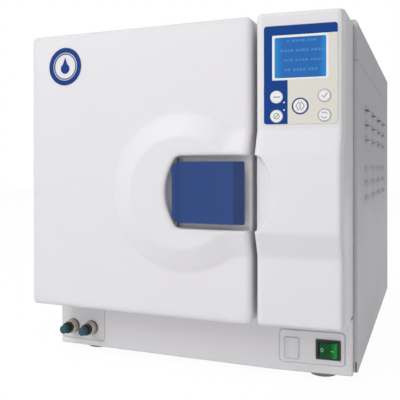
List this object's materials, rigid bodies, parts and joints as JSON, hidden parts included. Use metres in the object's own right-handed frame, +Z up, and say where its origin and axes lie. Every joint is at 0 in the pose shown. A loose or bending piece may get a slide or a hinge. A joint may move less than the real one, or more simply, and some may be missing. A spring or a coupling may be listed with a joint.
{
  "type": "benchtop steam autoclave",
  "caption": "Benchtop steam autoclave: hinged door with a raised belt and pull handle in a finger scoop, angled control column, louvred sides, round chamber with trays.",
  "frame": {"origin": "on the bench under the middle of the overall box", "axes": "+Z up, front towards -Y, +X to the viewer's right, +Y along the depth"},
  "size_m": [0.456, 0.684, 0.468],
  "materials": {
    "white_plastic": "smooth painted moulding, slightly glossy",
    "side_paint": "fine powder coat, satin",
    "handle_blue": "dark blue moulding, satin gloss",
    "overlay_film": "printed membrane film, fine matt grain",
    "display_glass": "blue backlit display window",
    "key_film": "smooth membrane keys",
    "black_plastic": "black moulding",
    "rocker_green": "translucent green rocker",
    "drain_metal": "turned metal, satin",
    "cap_plastic": "teal moulding",
    "foot_rubber": "light grey rubber",
    "gasket_rubber": "silicone",
    "chamber_steel": "brushed stainless steel",
    "heater_steel": "heat-tinted sheet",
    "jacket_felt": "felt insulation",
    "tray_steel": "stainless sheet, fine brush marks",
    "zinc_sheet": "zinc-plated sheet",
    "tank_plastic": "natural moulded plastic",
    "lid_plastic": "grey moulded plastic",
    "bolt_steel": "bright-plated steel",
    "brass": "turned brass",
    "pump_metal": "dark enamel",
    "board_green": "circuit board"
  },
  "bodies": {
    "housing": {"base_tray": "zinc_sheet", "chamber": "chamber_steel", "chamber_flange": "chamber_steel", "chamber_stand": "zinc_sheet", "control_board": "board_green", "control_column": "white_plastic", "display_module": "board_green", "display_window": "display_glass", "drain_body_left": "drain_metal", "drain_body_right": "drain_metal", "drain_plate": "white_plastic", "fan_frame": "black_plastic", "foot_front_left": "foot_rubber", "foot_front_right": "foot_rubber", "foot_rear_left": "foot_rubber", "foot_rear_right": "foot_rubber", "front_frame": "white_plastic", "heater_band": "heater_steel", "hinge_frame_leaf": "bolt_steel", "hinge_pins": "bolt_steel", "insulation_jacket": "jacket_felt", "latch_strikes": "zinc_sheet", "lock_solenoid": "zinc_sheet", "mains_inlet": "black_plastic", "overflow_barb": "brass", "panel_overlay": "overlay_film", "rear_panel": "side_paint", "safety_valve": "brass", "side_panel_left": "side_paint", "side_panel_right": "side_paint", "switch_body": "black_plastic", "switch_plate": "white_plastic", "top_cover": "side_paint", "tray_lower": "tray_steel", "tray_middle": "tray_steel", "tray_rack": "tray_steel", "tray_upper": "tray_steel", "valve_block": "brass", "water_pump": "pump_metal", "water_tank": "tank_plastic"},
    "door": {"door_cover": "white_plastic", "door_back_plate": "tray_steel", "pressure_disc": "chamber_steel", "door_gasket": "gasket_rubber", "hinge_door_leaf": "bolt_steel"},
    "handle": {"door_handle": "handle_blue", "handle_shaft": "bolt_steel"},
    "latch": {"latch_bar": "bolt_steel"},
    "bolt": {"lock_bolt": "bolt_steel"},
    "rocker": {"switch_rocker": "rocker_green"},
    "cap_left": {"drain_cap_left": "cap_plastic"},
    "cap_right": {"drain_cap_right": "cap_plastic"},
    "port_flap": {"port_cover": "white_plastic"},
    "lid": {"tank_lid": "lid_plastic"},
    "rotor": {"fan_rotor": "black_plastic"},
    "key_upper_left_body": {"key_upper_left": "key_film"},
    "key_lower_left_body": {"key_lower_left": "key_film"},
    "key_start_body": {"key_start": "key_film"},
    "key_upper_right_body": {"key_upper_right": "key_film"},
    "key_lower_right_body": {"key_lower_right": "key_film"}
  },
  "joints": [
    {"name": "door_hinge", "type": "hinge", "parent": "housing", "child": "door", "pos_m": [-0.2155, -0.26649, 0.274], "axis": [0, 0, -1], "range_deg": [0, 115]},
    {"name": "handle_pivot", "type": "hinge", "parent": "door", "child": "handle", "pos_m": [0.009, -0.33349, 0.247], "axis": [0, 0, -1], "range_deg": [0, 28], "stiffness_Nm_per_rad": 0.6},
    {"name": "latch_slide", "type": "slide", "parent": "door", "child": "latch", "axis": [1, 0, 0], "range_m": [0, 0.0145]},
    {"name": "bolt_slide", "type": "slide", "parent": "housing", "child": "bolt", "axis": [0, -1, 0], "range_m": [0, 0.012], "stiffness_N_per_m": 60},
    {"name": "rocker_pivot", "type": "hinge", "parent": "housing", "child": "rocker", "pos_m": [0.18699, -0.25147, 0.0435], "axis": [0, 0, 1], "range_deg": [0, 20]},
    {"name": "cap_left_turn", "type": "hinge", "parent": "housing", "child": "cap_left", "pos_m": [-0.194, -0.27999, 0.039], "axis": [0, -1, 0], "range_deg": [0, 90]},
    {"name": "cap_right_turn", "type": "hinge", "parent": "housing", "child": "cap_right", "pos_m": [-0.162, -0.27999, 0.039], "axis": [0, -1, 0], "range_deg": [0, 90]},
    {"name": "port_flap_hinge", "type": "hinge", "parent": "housing", "child": "port_flap", "pos_m": [0.13184, -0.25961, 0.042], "axis": [0, 0, -1], "range_deg": [0, 110]},
    {"name": "lid_lift", "type": "slide", "parent": "housing", "child": "lid", "axis": [0, 0, 1], "range_m": [0, 0.05]},
    {"name": "rotor_spin", "type": "hinge", "parent": "housing", "child": "rotor", "pos_m": [-0.12, 0.31449, 0.13], "axis": [0, 1, 0], "continuous": true},
    {"name": "key_upper_left_press", "type": "slide", "parent": "housing", "child": "key_upper_left_body", "axis": [-0.0872, 0.9962, 0], "range_m": [0, 0.0008], "stiffness_N_per_m": 800},
    {"name": "key_lower_left_press", "type": "slide", "parent": "housing", "child": "key_lower_left_body", "axis": [-0.0872, 0.9962, 0], "range_m": [0, 0.0008], "stiffness_N_per_m": 800},
    {"name": "key_start_press", "type": "slide", "parent": "housing", "child": "key_start_body", "axis": [-0.0872, 0.9962, 0], "range_m": [0, 0.0008], "stiffness_N_per_m": 800},
    {"name": "key_upper_right_press", "type": "slide", "parent": "housing", "child": "key_upper_right_body", "axis": [-0.0872, 0.9962, 0], "range_m": [0, 0.0008], "stiffness_N_per_m": 800},
    {"name": "key_lower_right_press", "type": "slide", "parent": "housing", "child": "key_lower_right_body", "axis": [-0.0872, 0.9962, 0], "range_m": [0, 0.0008], "stiffness_N_per_m": 800}
  ],
  "couplings": [
    {"joint": "latch_slide", "follows": "handle_pivot", "m_per_rad": 0.028833}
  ]
}
